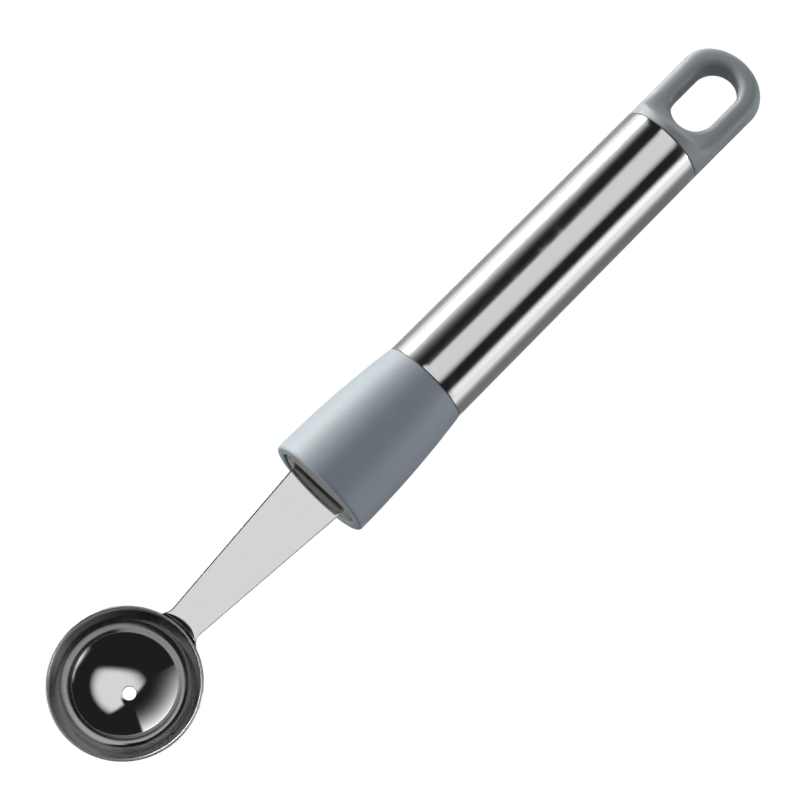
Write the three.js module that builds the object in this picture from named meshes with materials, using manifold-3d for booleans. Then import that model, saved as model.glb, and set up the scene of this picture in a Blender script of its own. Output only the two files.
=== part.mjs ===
// Melon baller: a pressed steel scoop spot-welded to a flat tapered shank, whose tang is held by a plug
// in a plastic ferrule, on a tapered steel tube that is closed by an end cap with a hanging eye.
//
// Sizes are in millimetres. The handle's axis runs along X, from the scoop at -X to the hanging eye at +X,
// and the scoop opens towards +Z. The origin is under the middle of the tool, level with its lowest point.

import * as THREE from "three";
import { mergeVertices } from "three/addons/utils/BufferGeometryUtils.js";
import Module from "manifold-3d";

const wasm = await Module();
wasm.setup();

// Scoop: pressed from sheet, with a shallow round bottom, a tighter corner and a straight flared wall
const SCOOP_DIAMETER = 30.6;
const SCOOP_WALL = 0.6;
const BOTTOM_RADIUS_SHARE = 0.608; // of the scoop's diameter, as the next
const CORNER_RADIUS_SHARE = 0.357;
const BOTTOM_SLOPE = THREE.MathUtils.degToRad(33); // where the bottom passes into the corner
const WALL_SLOPE = THREE.MathUtils.degToRad(65);
const DRAIN_HOLE_DIAMETER = 2.8;

// Shank: one sheet, with a tongue that bends down onto the scoop and a tang inside the handle
const SHEET = 1;
const BEND_INNER_RADIUS = 0.8;
const WELD_GAP = 0.2;
const TONGUE_TIP_SLOPE = THREE.MathUtils.degToRad(50); // of the scoop where the tongue ends
const TONGUE_CORNER_RADIUS = 2;
const WELD_MARK_DIAMETER = 2.4;
const WELD_MARK_DEPTH = 0.15;
const WELD_MARK_SPACING = 4.6;
const NECK_WIDTH = 7.1; // the blade's, carried on to the scoop's rim
const NECK_FILLET_RADIUS = 2.5;
const SHANK_FREE_LENGTH = 38.1; // from the scoop's rim to the ferrule's mouth
const SHANK_WIDTH = 13.2; // at the ferrule's mouth
const TANG_LENGTH = 26;
const TANG_CHAMFER = 1.5;
const TANG_NOTCH_RADIUS = 1.2;
const TANG_NOTCH_SETBACK = 8; // from the tang's end
const TANG_HOLE_DIAMETER = 3.6;
const TANG_HOLE_SETBACK = 17;

// Plug that grips the tang inside the ferrule
const PLUG_HEAD_LENGTH = 6;
const PLUG_STEM_LENGTH = 31;
const PLUG_STEM_WALL = 1.6; // outside the slot's corners
const PLUG_POCKET_DEPTH = 4; // for the full width of the shank
const PLUG_POCKET_HEIGHT = 5.2;
const PLUG_RECESS = 0.25; // its face, behind the ferrule's lip
const PLUG_CHAMFER = 0.8;

// Ferrule
const FERRULE_LENGTH = 30;
const MOUTH_DIAMETER = 22.9;
const MOUTH_EDGE_RADIUS = 0.7;
const LIP_WIDTH = 2;
const FERRULE_STEP = 0.06; // how far its tail stands proud of the tube
const FERRULE_SPIGOT_LENGTH = 14;
const FERRULE_SPIGOT_WALL = 1.5;

// Handle tube
const TUBE_LENGTH = 69.1;
const TUBE_FRONT_DIAMETER = 18.9;
const TUBE_BACK_DIAMETER = 18.4;
const TUBE_WALL = 0.6;

// End cap: a round collar that is hollowed away above and below, down to a flat tab with an eye
const CAP_LENGTH = 24.5;
const CAP_WIDTH = 18.55;
const CAP_NOSE_LENGTH = 7.3; // the elliptical end of the plan
const CAP_THICKNESS = 7;
const CAP_EDGE_BLEND = 2;
const HOLLOW_END = 6.4; // from the tube to where the flat begins
const HOLLOW_RADIUS = 3.4;
const HOLLOW_ANGLE = THREE.MathUtils.degToRad(72);
const SIDE_BAR_WIDTH = 4.5;
const NOSE_BAR_WIDTH = 3.8;
const EYE_START = 4.95; // from the tube to the eye
const EYE_EDGE_RADIUS = 1.5;
const CAP_SPIGOT_LENGTH = 13;
const CAP_SPIGOT_WALL = 1.8;

// Fits
const SEAM = 0.15; // between pieces that butt together
const FIT = 0.1; // round a piece that sits in a bore or a slot
const SPIGOT_CLEARANCE = 0.3; // between a spigot's barrel and the tube
const RIB_FIT = 0.06; // between a spigot's ribs and the tube
const RIB_WIDTH = 1.2;
const RIB_COUNT = 6;
const SPIGOT_CHAMFER = 0.6;

// Facets
const ROUND_SEGMENTS = 64;
const BOTTOM_STEPS = 8;
const CORNER_STEPS = 5;
const RIM_STEPS = 4;
const BEND_STEPS = 6;
const ARC_STEPS = 8;
const SWEEP_STEPS = 10; // along the ferrule's long outer arc
const EYE_END_STEPS = 16;
const EYE_SIDE_STEPS = 5;
const EYE_FILLET_STEPS = 4;
const CAP_RIB_STEPS = 8; // from the eye's edge out to the plan's outline
const MERGE_DISTANCE = 1e-4;

// Where the pieces lie along X, from the scoop's axis
const SCOOP_RADIUS = SCOOP_DIAMETER / 2;
const MOUTH_X = SCOOP_RADIUS + SHANK_FREE_LENGTH;
const JOINT_X = MOUTH_X + FERRULE_LENGTH;
const TUBE_START_X = JOINT_X + SEAM;
const TUBE_END_X = TUBE_START_X + TUBE_LENGTH;
const CAP_X = TUBE_END_X + SEAM;
const TAIL_X = CAP_X + CAP_LENGTH;

const point = (x, y) => new THREE.Vector2(x, y);

// The direction out of the scoop's wall where it has a given slope, as an angle.
const outwards = (slope) => slope - Math.PI / 2;

// The point that lies a distance from a centre, at an angle.
function offset(centre, distance, angle) {
  return point(centre.x + distance * Math.cos(angle), centre.y + distance * Math.sin(angle));
}

// The scoop's outside is an arc, a tighter arc and a line, each passing into the next. They are found from the
// rim down. The rim is half round, and it is level with the shank's upper face.
const RIM_Z = SHEET / 2;
const HALF_WALL = SCOOP_WALL / 2;
const BOTTOM_RADIUS = BOTTOM_RADIUS_SHARE * SCOOP_DIAMETER;
const CORNER_RADIUS = CORNER_RADIUS_SHARE * SCOOP_DIAMETER;
const RIM_CENTRE = point(SCOOP_RADIUS - HALF_WALL, RIM_Z - HALF_WALL);
const ABOVE_WALL = offset(RIM_CENTRE, HALF_WALL - CORNER_RADIUS, outwards(WALL_SLOPE));
const CORNER_X = (BOTTOM_RADIUS - CORNER_RADIUS) * Math.sin(BOTTOM_SLOPE);
const WALL_LENGTH = (ABOVE_WALL.x - CORNER_X) / Math.cos(WALL_SLOPE);
const CORNER_CENTRE = offset(ABOVE_WALL, -WALL_LENGTH, WALL_SLOPE);
const BOTTOM_CENTRE = offset(CORNER_CENTRE, CORNER_RADIUS - BOTTOM_RADIUS, outwards(BOTTOM_SLOPE));
const BOTTOM_Z = BOTTOM_CENTRE.y - BOTTOM_RADIUS;

const MOUTH_RADIUS = MOUTH_DIAMETER / 2;
const LIFT = Math.max(MOUTH_RADIUS, -BOTTOM_Z);

// Points along an arc, both ends included. Angles are in radians from the first axis.
function arc(centre, radius, from, to, steps) {
  return Array.from({ length: steps + 1 }, (_, i) => offset(centre, radius, from + ((to - from) * i) / steps));
}

// A closed three.js geometry as a solid whose faces point outwards.
function solidOf(geometry) {
  const bare = new THREE.BufferGeometry().setAttribute("position", geometry.getAttribute("position"));
  const merged = mergeVertices(bare.setIndex(geometry.index), MERGE_DISTANCE);
  const corners = [];
  for (let i = 0; i < merged.index.count; i += 3) {
    const [a, b, c] = [0, 1, 2].map((k) => merged.index.getX(i + k));
    if (a !== b && b !== c && c !== a) corners.push([a, b, c]);
  }
  const build = (triangles) =>
    new wasm.Manifold(
      new wasm.Mesh({
        numProp: 3,
        vertProperties: new Float32Array(merged.getAttribute("position").array),
        triVerts: Uint32Array.from(triangles.flat()),
      }),
    );
  const made = build(corners);
  return made.volume() > 0 ? made : build(corners.map(([a, b, c]) => [a, c, b]));
}

function geometryOf(solid) {
  const { vertProperties, triVerts } = solid.getMesh();
  const geometry = new THREE.BufferGeometry();
  geometry.setAttribute("position", new THREE.BufferAttribute(new Float32Array(vertProperties), 3));
  geometry.setIndex(new THREE.BufferAttribute(new Uint32Array(triVerts), 1));
  geometry.computeVertexNormals();
  return geometry;
}

// A profile of (radius, height) points revolved about the scoop's vertical axis.
function revolveZ(profile) {
  return solidOf(new THREE.LatheGeometry(profile, ROUND_SEGMENTS).rotateX(Math.PI / 2));
}

// A profile of (radius, x) points revolved about the handle's axis.
function revolveX(profile) {
  return solidOf(new THREE.LatheGeometry(profile, ROUND_SEGMENTS).rotateZ(-Math.PI / 2));
}

// A box given by its lowest and highest corners.
function block(low, high) {
  const size = new THREE.Vector3().subVectors(high, low);
  const centre = new THREE.Vector3().addVectors(low, high).multiplyScalar(0.5);
  return solidOf(new THREE.BoxGeometry(...size.toArray()).translate(...centre.toArray()));
}

function tubeRadius(x) {
  const share = (x - TUBE_START_X) / TUBE_LENGTH;
  return THREE.MathUtils.lerp(TUBE_FRONT_DIAMETER, TUBE_BACK_DIAMETER, share) / 2;
}

const tubeBore = (x) => tubeRadius(x) - TUBE_WALL;
const spigotBarrel = (x) => tubeBore(x) - SPIGOT_CLEARANCE;

// One inside the other: the tube, the ferrule's spigot, the plug's stem and the tang in the stem's slot.
const FERRULE_END_X = JOINT_X + FERRULE_SPIGOT_LENGTH;
const FERRULE_BORE = spigotBarrel(FERRULE_END_X) - FERRULE_SPIGOT_WALL;
const STEM_RADIUS = FERRULE_BORE - FIT;
const SLOT_HALF = SHEET / 2 + FIT;
const TANG_WIDTH = 2 * (Math.sqrt((STEM_RADIUS - PLUG_STEM_WALL) ** 2 - SLOT_HALF ** 2) - FIT);

// The plug's head fills the ferrule's mouth, and its stem runs back along the bore.
const HEAD_RADIUS = MOUTH_RADIUS - LIP_WIDTH - FIT;
const PLUG_X = MOUTH_X + PLUG_RECESS;
const HEAD_END_X = PLUG_X + PLUG_HEAD_LENGTH;
const PLUG_END_X = HEAD_END_X + PLUG_STEM_LENGTH;

// A pressed cup of even wall, with a half-round rim and a drain hole at its lowest point.
function scoop() {
  const wall = (inset) => {
    const bottomRadius = BOTTOM_RADIUS - inset;
    const atHole = outwards(Math.asin(DRAIN_HOLE_DIAMETER / 2 / bottomRadius));
    const [low, high] = [outwards(BOTTOM_SLOPE), outwards(WALL_SLOPE)];
    const bottom = arc(BOTTOM_CENTRE, bottomRadius, atHole, low, BOTTOM_STEPS);
    return [...bottom, ...arc(CORNER_CENTRE, CORNER_RADIUS - inset, low, high, CORNER_STEPS).slice(1)];
  };
  const outside = wall(0);
  const inside = wall(SCOOP_WALL).reverse();
  const rimStart = outwards(WALL_SLOPE);
  const rim = arc(RIM_CENTRE, HALF_WALL, rimStart, rimStart + Math.PI, RIM_STEPS);
  return revolveZ([...outside, ...rim, ...inside, outside[0]]);
}

// The bend's centre, from which both of its faces are struck. Its outer face touches the tongue's inner
// face, which follows the scoop's wall at the weld gap.
const TONGUE_RADIUS = CORNER_RADIUS + WELD_GAP;
const BEND_OUTER_RADIUS = BEND_INNER_RADIUS + SHEET;
const BEND_Z = RIM_Z - BEND_OUTER_RADIUS;
const BEND_STANDOFF = HALF_WALL + WELD_GAP + BEND_OUTER_RADIUS; // from the line through the middle of the wall
const BEND_DROP = (RIM_CENTRE.y - BEND_Z) * Math.cos(WALL_SLOPE);
const BEND_X = RIM_CENTRE.x + (BEND_STANDOFF - BEND_DROP) / Math.sin(WALL_SLOPE);
const BEND_CENTRE = point(BEND_X, BEND_Z);

const SHOULDER_X = PLUG_X + PLUG_POCKET_DEPTH - FIT;
const TANG_END_X = SHOULDER_X + TANG_LENGTH;

// The neck's fillet touches the blade's edge and the rim's circle. Its centre is one fillet radius from both.
const BLADE_SLOPE = Math.atan2((SHANK_WIDTH - NECK_WIDTH) / 2, SHANK_FREE_LENGTH);
const FILLET_DISTANCE = SCOOP_RADIUS + NECK_FILLET_RADIUS;
const BESIDE_BLADE = offset(point(SCOOP_RADIUS, NECK_WIDTH / 2), NECK_FILLET_RADIUS, BLADE_SLOPE + Math.PI / 2);
const BLADE_REACH = BESIDE_BLADE.dot(offset(point(0, 0), 1, BLADE_SLOPE));
const FILLET_REACH = Math.sqrt(BLADE_REACH ** 2 - BESIDE_BLADE.lengthSq() + FILLET_DISTANCE ** 2) - BLADE_REACH;
const FILLET_CENTRE = offset(BESIDE_BLADE, FILLET_REACH, BLADE_SLOPE);
const TONGUE_WIDTH = (2 * FILLET_CENTRE.y * SCOOP_RADIUS) / FILLET_DISTANCE;

// The shank's sheet as it is formed: flat, then bent down round the scoop.
function formedSheet() {
  const bendEnd = Math.PI / 2 + WALL_SLOPE;
  const [top, tip] = [outwards(WALL_SLOPE), outwards(TONGUE_TIP_SLOPE)];
  const reach = Math.hypot(TANG_END_X, SHANK_WIDTH) / Math.cos(Math.PI / ROUND_SEGMENTS);
  const face = (radius, bendRadius, height) => [
    point(reach, height),
    ...arc(BEND_CENTRE, bendRadius, Math.PI / 2, bendEnd, BEND_STEPS),
    ...arc(CORNER_CENTRE, radius, top, tip, BEND_STEPS),
  ];
  const upper = face(TONGUE_RADIUS, BEND_OUTER_RADIUS, SHEET / 2);
  const lower = face(TONGUE_RADIUS + SHEET, BEND_INNER_RADIUS, -SHEET / 2);
  return revolveZ([...upper, ...lower.reverse(), upper[0]]);
}

// The shank's outline in plan: tongue, filleted neck, taper, shoulder and notched tang.
function shankOutline() {
  const filletStart = Math.PI + FILLET_CENTRE.angle();
  const filletEnd = (3 * Math.PI) / 2 + BLADE_SLOPE;
  const notch = point(TANG_END_X - TANG_NOTCH_SETBACK, TANG_WIDTH / 2);
  const half = [
    point(0, TONGUE_WIDTH / 2),
    ...arc(FILLET_CENTRE, NECK_FILLET_RADIUS, filletStart, filletEnd, ARC_STEPS),
    point(MOUTH_X, SHANK_WIDTH / 2),
    point(SHOULDER_X, SHANK_WIDTH / 2),
    point(SHOULDER_X, TANG_WIDTH / 2),
    ...arc(notch, TANG_NOTCH_RADIUS, Math.PI, 2 * Math.PI, ARC_STEPS),
    point(TANG_END_X - TANG_CHAMFER, TANG_WIDTH / 2),
    point(TANG_END_X, TANG_WIDTH / 2 - TANG_CHAMFER),
  ];
  const mirrored = half.map((p) => point(p.x, -p.y)).reverse();
  const outline = new THREE.Shape([...half, ...mirrored]);
  const hole = new THREE.Path();
  hole.absarc(TANG_END_X - TANG_HOLE_SETBACK, 0, TANG_HOLE_DIAMETER / 2, 0, 2 * Math.PI);
  outline.holes.push(hole);
  return outline;
}

// What the tongue's rounded end leaves, seen along the handle: all above its corners, and between them below.
function tongueTrim() {
  const tip = offset(CORNER_CENTRE, TONGUE_RADIUS + SHEET, outwards(TONGUE_TIP_SLOPE)).y;
  const side = TONGUE_WIDTH / 2;
  const corner = point(side - TONGUE_CORNER_RADIUS, tip + TONGUE_CORNER_RADIUS);
  const half = [
    point(SHANK_WIDTH, SHEET),
    point(SHANK_WIDTH, -SHEET),
    point(side, -SHEET),
    ...arc(corner, TONGUE_CORNER_RADIUS, 0, -Math.PI / 2, ARC_STEPS),
  ];
  const mirrored = half.map((p) => point(-p.x, p.y)).reverse();
  const shape = new THREE.Shape([...half, ...mirrored]);
  const prism = new THREE.ExtrudeGeometry(shape, { depth: TANG_END_X + SHEET, bevelEnabled: false });
  return solidOf(prism.rotateX(Math.PI / 2).rotateZ(Math.PI / 2));
}

// The shallow round marks that the welding electrodes leave on the outside of the tongue.
function weldMarks() {
  const half = WELD_MARK_DIAMETER / 2;
  const ball = (half ** 2 + WELD_MARK_DEPTH ** 2) / (2 * WELD_MARK_DEPTH);
  const out = outwards((WALL_SLOPE + TONGUE_TIP_SLOPE) / 2);
  const centre = offset(CORNER_CENTRE, TONGUE_RADIUS + SHEET + ball - WELD_MARK_DEPTH, out);
  return [-1, 1].map((side) => {
    const turn = (side * WELD_MARK_SPACING) / SCOOP_DIAMETER;
    const mark = new THREE.SphereGeometry(ball, ROUND_SEGMENTS, ROUND_SEGMENTS / 2);
    return solidOf(mark.translate(centre.x * Math.cos(turn), centre.x * Math.sin(turn), centre.y));
  });
}

function shank() {
  const depth = 2 * LIFT + 2 * SHEET;
  const blank = new THREE.ExtrudeGeometry(shankOutline(), { depth, bevelEnabled: false, curveSegments: ARC_STEPS });
  const cut = solidOf(blank.translate(0, 0, -depth / 2));
  return weldMarks().reduce((s, mark) => s.subtract(mark), formedSheet().intersect(cut).intersect(tongueTrim()));
}

// A round plug with a slot along it for the tang, and a wider and taller pocket in its head for the shank.
function plug() {
  const body = revolveX([
    point(0, PLUG_X),
    point(HEAD_RADIUS - PLUG_CHAMFER, PLUG_X),
    point(HEAD_RADIUS, PLUG_X + PLUG_CHAMFER),
    point(HEAD_RADIUS, HEAD_END_X),
    point(STEM_RADIUS, HEAD_END_X),
    point(STEM_RADIUS, PLUG_END_X - PLUG_CHAMFER),
    point(STEM_RADIUS - PLUG_CHAMFER, PLUG_END_X),
    point(0, PLUG_END_X),
  ]);
  const slot = (width, height, from, to) =>
    block(
      new THREE.Vector3(from, -width / 2 - FIT, -height / 2),
      new THREE.Vector3(to, width / 2 + FIT, height / 2),
    );
  const pocket = slot(SHANK_WIDTH, PLUG_POCKET_HEIGHT, PLUG_X - SHEET, PLUG_X + PLUG_POCKET_DEPTH);
  const through = slot(TANG_WIDTH, 2 * SLOT_HALF, PLUG_X, PLUG_END_X + SHEET);
  return body.subtract(pocket).subtract(through);
}

// The crush ribs of a spigot, which stand up to the tube's bore at the spigot's narrower end.
function spigotRibs(from, to, root) {
  const top = Math.min(tubeBore(from), tubeBore(to)) - RIB_FIT;
  const height = Math.sqrt(top ** 2 - (RIB_WIDTH / 2) ** 2);
  return Array.from({ length: RIB_COUNT }, (_, i) => {
    const rib = new THREE.BoxGeometry(to - from, RIB_WIDTH, height - root);
    rib.translate((from + to) / 2, 0, (root + height) / 2);
    return solidOf(rib.rotateX((i * 2 * Math.PI) / RIB_COUNT));
  });
}

// A flared collar, whose outer face is one long arc that is parallel to the axis at the mouth.
function ferrule() {
  const counterbore = HEAD_RADIUS + FIT;
  const seat = HEAD_END_X + SEAM;
  const tail = TUBE_FRONT_DIAMETER / 2 + FERRULE_STEP;
  const sweepStart = MOUTH_X + MOUTH_EDGE_RADIUS;
  const sweep = JOINT_X - sweepStart;
  const fall = MOUTH_RADIUS - tail;
  const sweepRadius = (sweep ** 2 + fall ** 2) / (2 * fall);
  const edgeCentre = point(MOUTH_RADIUS - MOUTH_EDGE_RADIUS, sweepStart);
  const sweepCentre = point(MOUTH_RADIUS - sweepRadius, sweepStart);
  const barrelEnd = spigotBarrel(FERRULE_END_X);
  const profile = [
    point(counterbore, MOUTH_X),
    ...arc(edgeCentre, MOUTH_EDGE_RADIUS, -Math.PI / 2, 0, ARC_STEPS / 2),
    ...arc(sweepCentre, sweepRadius, 0, Math.asin(sweep / sweepRadius), SWEEP_STEPS).slice(1),
    point(spigotBarrel(JOINT_X), JOINT_X),
    point(barrelEnd, FERRULE_END_X - SPIGOT_CHAMFER),
    point(barrelEnd - SPIGOT_CHAMFER, FERRULE_END_X),
    point(FERRULE_BORE, FERRULE_END_X),
    point(FERRULE_BORE, seat),
    point(counterbore, seat),
  ];
  const ribRoot = barrelEnd - FERRULE_SPIGOT_WALL / 2;
  const ribs = spigotRibs(JOINT_X - SEAM, FERRULE_END_X - 2 * SPIGOT_CHAMFER, ribRoot);
  return ribs.reduce((s, rib) => s.add(rib), revolveX([...profile, profile[0]]));
}

function handleTube() {
  const profile = [
    point(tubeBore(TUBE_START_X), TUBE_START_X),
    point(tubeRadius(TUBE_START_X), TUBE_START_X),
    point(tubeRadius(TUBE_END_X), TUBE_END_X),
    point(tubeBore(TUBE_END_X), TUBE_END_X),
  ];
  return revolveX([...profile, profile[0]]);
}

const COLLAR_RADIUS = TUBE_BACK_DIAMETER / 2;
const NOSE_START = CAP_LENGTH - CAP_NOSE_LENGTH;
const EYE_END = CAP_LENGTH - NOSE_BAR_WIDTH;
const EYE_HALF_WIDTH = CAP_WIDTH / 2 - SIDE_BAR_WIDTH;

// Half the cap's width in plan, at a distance from the tube: a slow flare, then an elliptical nose.
function capHalfWidth(u) {
  if (u < NOSE_START) {
    const flare = THREE.MathUtils.smoothstep(u, 0, NOSE_START);
    return THREE.MathUtils.lerp(COLLAR_RADIUS, CAP_WIDTH / 2, flare);
  }
  const share = Math.min(1, (u - NOSE_START) / CAP_NOSE_LENGTH);
  return (CAP_WIDTH / 2) * Math.sqrt(1 - share ** 2);
}

// Height of the hollow above the cap's middle plane: flat, then an arc and a steep line up to the collar.
function hollowHeight(u) {
  const back = Math.max(0, HOLLOW_END - u);
  const arcReach = HOLLOW_RADIUS * Math.sin(HOLLOW_ANGLE);
  const onArc = Math.min(back, arcReach);
  const rise = HOLLOW_RADIUS - Math.sqrt(HOLLOW_RADIUS ** 2 - onArc ** 2);
  return CAP_THICKNESS / 2 + rise + (back - onArc) * Math.tan(HOLLOW_ANGLE);
}

// Height of the cap's upper face: the round body or the cut, whichever is lower, with a soft edge between them.
function capHeight(u, y) {
  const body = Math.sqrt(Math.max(0, capHalfWidth(u) ** 2 - y ** 2));
  const cut = hollowHeight(u);
  const near = Math.max(0, CAP_EDGE_BLEND - Math.abs(body - cut));
  const soft = Math.min(body, cut) - near ** 2 / (4 * CAP_EDGE_BLEND);
  return Math.min(body, Math.max(0, soft));
}

// The eye's outline, with half-round ends, and the cap's outline in plan, point for point, so that a rib can
// join each pair.
function capPlan() {
  const halfRound = (x, from) => arc(point(x, 0), EYE_HALF_WIDTH, from, from - Math.PI, EYE_END_STEPS);
  const near = halfRound(EYE_START + EYE_HALF_WIDTH, -Math.PI / 2);
  const far = halfRound(EYE_END - EYE_HALF_WIDTH, Math.PI / 2);
  const between = (a, b) =>
    Array.from({ length: EYE_SIDE_STEPS - 1 }, (_, i) => a.clone().lerp(b, (i + 1) / EYE_SIDE_STEPS));
  const eye = [...near, ...between(near.at(-1), far[0]), ...far, ...between(far.at(-1), near[0])];
  const endCount = EYE_END_STEPS;
  const joint = Array.from({ length: endCount }, (_, i) => point(0, COLLAR_RADIUS * ((2 * i) / endCount - 1)));
  const flank = (sign) =>
    Array.from({ length: EYE_SIDE_STEPS }, (_, i) => {
      const u = NOSE_START * (sign > 0 ? i / EYE_SIDE_STEPS : 1 - i / EYE_SIDE_STEPS);
      return point(u, sign * capHalfWidth(u));
    });
  const nose = Array.from({ length: endCount }, (_, i) => {
    const angle = Math.PI / 2 - (Math.PI * i) / endCount;
    return point(NOSE_START + CAP_NOSE_LENGTH * Math.cos(angle), (CAP_WIDTH / 2) * Math.sin(angle));
  });
  return { eye, outline: [...joint, ...flank(1), ...nose, ...flank(-1)] };
}

// One section of the cap, from the eye's wall over its rounded edge and out to the outline, as the upper half.
function capSection(inner, outer) {
  const width = inner.distanceTo(outer);
  const at = (d) => inner.clone().lerp(outer, d / width);
  const edge = (d) => {
    const p = at(d);
    const inset = Math.max(0, EYE_EDGE_RADIUS - d);
    const drop = EYE_EDGE_RADIUS - Math.sqrt(EYE_EDGE_RADIUS ** 2 - inset ** 2);
    return new THREE.Vector3(p.x, p.y, Math.max(0, capHeight(p.x, p.y) - drop));
  };
  const wall = new THREE.Vector3(inner.x, inner.y, 0);
  const fillet = Array.from({ length: EYE_FILLET_STEPS }, (_, i) =>
    edge(EYE_EDGE_RADIUS * (1 - Math.cos((i * Math.PI) / 2 / EYE_FILLET_STEPS))),
  );
  const face = Array.from({ length: CAP_RIB_STEPS + 1 }, (_, i) => {
    const share = 1 - (1 - i / CAP_RIB_STEPS) ** 2;
    return edge(EYE_EDGE_RADIUS + (width - EYE_EDGE_RADIUS) * share);
  });
  return [wall, ...fillet, ...face];
}

// The collar and the tab with its eye, as a closed ring of sections.
function capShell() {
  const { eye, outline } = capPlan();
  const sections = eye.map((inner, i) => {
    const upper = capSection(inner, outline[i]);
    const lower = upper.slice(1).map((p) => new THREE.Vector3(p.x, p.y, -p.z));
    return [...upper, ...lower.reverse()];
  });
  const around = sections.length;
  const across = sections[0].length;
  const index = [];
  for (let i = 0; i < around; i++) {
    for (let j = 0; j < across; j++) {
      const [a, b] = [i, (i + 1) % around].map((k) => k * across + j);
      const [c, d] = [i, (i + 1) % around].map((k) => k * across + ((j + 1) % across));
      index.push(a, b, c, b, d, c);
    }
  }
  return solidOf(new THREE.BufferGeometry().setFromPoints(sections.flat()).setIndex(index).translate(CAP_X, 0, 0));
}

// The cap's hollow spigot, which the tube slides over.
function endCap() {
  const root = CAP_X + SEAM;
  const end = CAP_X - CAP_SPIGOT_LENGTH;
  const hollow = spigotBarrel(end) - CAP_SPIGOT_WALL;
  const floor = CAP_X - CAP_SPIGOT_WALL;
  const spigot = revolveX([
    point(0, root),
    point(spigotBarrel(TUBE_END_X), root),
    point(spigotBarrel(end), end + SPIGOT_CHAMFER),
    point(spigotBarrel(end) - SPIGOT_CHAMFER, end),
    point(hollow, end),
    point(hollow, floor),
    point(0, floor),
  ]);
  const ribs = spigotRibs(end + 2 * SPIGOT_CHAMFER, root, hollow + CAP_SPIGOT_WALL / 2);
  return ribs.reduce((s, rib) => s.add(rib), capShell().add(spigot));
}

const polishedSteel = new THREE.MeshStandardMaterial({ color: 0xc9cacb, metalness: 1, roughness: 0.1 });
const satinSteel = new THREE.MeshStandardMaterial({ color: 0xbfc0c1, metalness: 1, roughness: 0.25 });
const greyPlastic = new THREE.MeshStandardMaterial({ color: 0x777e86, metalness: 0, roughness: 0.55 });
const paleGreyPlastic = new THREE.MeshStandardMaterial({ color: 0x9a9b98, metalness: 0, roughness: 0.5 });

function piece(name, solid, material) {
  const mesh = new THREE.Mesh(geometryOf(solid), material);
  mesh.name = name;
  return mesh;
}

const tool = new THREE.Group();
tool.add(piece("scoop_bowl", scoop(), polishedSteel));
tool.add(piece("shank", shank(), polishedSteel));
tool.add(piece("tang_plug", plug(), paleGreyPlastic));
tool.add(piece("ferrule", ferrule(), greyPlastic));
tool.add(piece("handle_tube", handleTube(), satinSteel));
tool.add(piece("end_cap", endCap(), greyPlastic));
tool.position.set((SCOOP_RADIUS - TAIL_X) / 2, 0, LIFT);

const melonBaller = new THREE.Group();
melonBaller.add(tool);
export default melonBaller;
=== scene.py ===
"""Melon baller: polished scoop and shank, plastic ferrule and plug, steel tube, and end cap with an eye."""

import math

import bpy
import numpy as np
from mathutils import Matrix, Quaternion, Vector


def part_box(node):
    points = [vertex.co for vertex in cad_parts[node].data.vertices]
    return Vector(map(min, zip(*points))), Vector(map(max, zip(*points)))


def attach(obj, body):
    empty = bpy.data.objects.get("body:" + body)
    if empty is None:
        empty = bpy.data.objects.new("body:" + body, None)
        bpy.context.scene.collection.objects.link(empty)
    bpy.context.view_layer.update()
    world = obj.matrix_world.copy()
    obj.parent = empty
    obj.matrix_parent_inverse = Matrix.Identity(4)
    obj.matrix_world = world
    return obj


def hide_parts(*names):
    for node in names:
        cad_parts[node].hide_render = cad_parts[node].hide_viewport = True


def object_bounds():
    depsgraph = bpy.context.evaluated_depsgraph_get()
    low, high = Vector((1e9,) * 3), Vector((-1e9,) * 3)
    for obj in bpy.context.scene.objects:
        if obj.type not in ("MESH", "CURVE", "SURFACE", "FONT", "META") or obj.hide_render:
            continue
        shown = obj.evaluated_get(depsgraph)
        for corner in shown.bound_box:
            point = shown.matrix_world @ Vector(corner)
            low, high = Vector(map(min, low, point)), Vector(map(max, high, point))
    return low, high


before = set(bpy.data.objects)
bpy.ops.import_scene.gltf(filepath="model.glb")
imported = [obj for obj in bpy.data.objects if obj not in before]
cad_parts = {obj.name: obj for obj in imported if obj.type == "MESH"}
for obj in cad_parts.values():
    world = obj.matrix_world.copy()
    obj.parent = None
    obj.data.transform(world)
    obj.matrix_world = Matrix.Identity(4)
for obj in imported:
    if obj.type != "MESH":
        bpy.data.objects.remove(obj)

bl_info = {
    "name": "Melon Baller",
    "version": (1, 0, 0),
    "blender": (4, 5, 0),
    "location": "View3D > Sidebar > Melon Baller",
    "description": "Builds a melon baller's pieces in its packed frame, with their finishes and a stage",
    "category": "Object",
}

MM = 0.001
CAD_BOX = [list(corner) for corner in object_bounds()]
SCOOP_LOW, SCOOP_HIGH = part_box("scoop_bowl")
_, SHANK_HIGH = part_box("shank")
PLUG_LOW, PLUG_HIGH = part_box("tang_plug")
FERRULE_LOW, FERRULE_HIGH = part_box("ferrule")
TUBE_LOW, TUBE_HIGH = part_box("handle_tube")
_, CAP_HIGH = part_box("end_cap")

SCOOP_X = (SCOOP_LOW.x + SCOOP_HIGH.x) / 2
SCOOP_RADIUS = (SCOOP_HIGH.y - SCOOP_LOW.y) / 2
RIM_Z = SCOOP_HIGH.z
AXIS_Z = (FERRULE_LOW.z + FERRULE_HIGH.z) / 2
MOUTH_RADIUS = (FERRULE_HIGH.z - FERRULE_LOW.z) / 2
TUBE_RADIUS = TUBE_HIGH.z - AXIS_Z
MOUTH_REACH = FERRULE_LOW.x - SCOOP_X
TANG_REACH = SHANK_HIGH.x - SCOOP_X

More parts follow.
